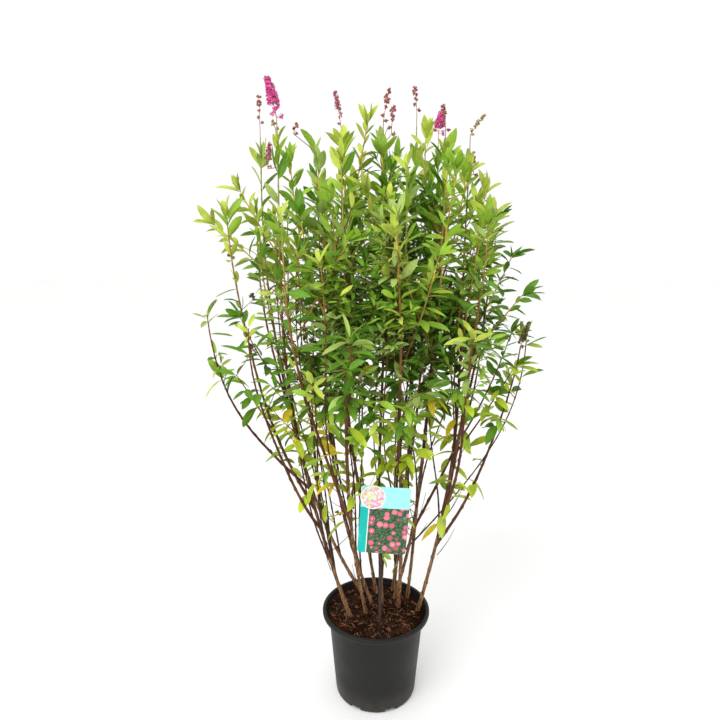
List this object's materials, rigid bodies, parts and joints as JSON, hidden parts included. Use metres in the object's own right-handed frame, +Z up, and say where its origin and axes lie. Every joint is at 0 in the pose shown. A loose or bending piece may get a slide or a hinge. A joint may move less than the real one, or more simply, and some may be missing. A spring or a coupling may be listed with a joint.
{
  "type": "spirea shrub",
  "caption": "Upright flowering shrub with slender arching stems, narrow leaves and small flower spikes, standing in a round black nursery pot with a plant tag.",
  "frame": {"origin": "centre of the pot's flat underside, on the surface that it stands on", "axes": "+Z up, along the pot's axis and the shrub's stems; -Y the front, where the plant tag faces; +X to the right seen from the front"},
  "size_m": [0.6874, 0.5151, 1.285],
  "materials": {
    "pot": "matt black moulded plastic",
    "soil": "rough moist bark and peat compost",
    "stem": "tan to reddish brown bark",
    "bough": "smooth reddish brown young bark",
    "foliage": "soft satin green leaves",
    "bloom": "soft fuzzy pink and brown flower spikes",
    "tag": "smooth printed plastic card",
    "stake": "dark plastic strip"
  },
  "bodies": {
    "root": {"bough_a1": "bough", "bough_a2": "bough", "bough_b1": "bough", "bough_b2": "bough", "bough_c1": "bough", "bough_c2": "bough", "bough_c3": "bough", "bough_d1": "bough", "bough_f1": "bough", "bough_f2": "bough", "bough_g1": "bough", "bough_h1": "bough", "bough_i1": "bough", "bough_i2": "bough", "bough_i3": "bough", "bough_i4": "bough", "foliage_a": "foliage", "foliage_a1": "foliage", "foliage_a2": "foliage", "foliage_b": "foliage", "foliage_b1": "foliage", "foliage_b2": "foliage", "foliage_c": "foliage", "foliage_c1": "foliage", "foliage_c2": "foliage", "foliage_c3": "foliage", "foliage_d": "foliage", "foliage_d1": "foliage", "foliage_e": "foliage", "foliage_f": "foliage", "foliage_f1": "foliage", "foliage_f2": "foliage", "foliage_g": "foliage", "foliage_g1": "foliage", "foliage_h": "foliage", "foliage_h1": "foliage", "foliage_i": "foliage", "foliage_i1": "foliage", "foliage_i2": "foliage", "foliage_i3": "foliage", "foliage_i4": "foliage", "foliage_j": "foliage", "foliage_k": "foliage", "pot": "pot", "soil": "soil", "stem_a": "stem", "stem_b": "stem", "stem_c": "stem", "stem_d": "stem", "stem_e": "stem", "stem_f": "stem", "stem_g": "stem", "stem_h": "stem", "stem_i": "stem", "stem_j": "stem", "stem_k": "stem", "tag_card": "tag", "tag_stake": "stake"}
  },
  "joints": []
}
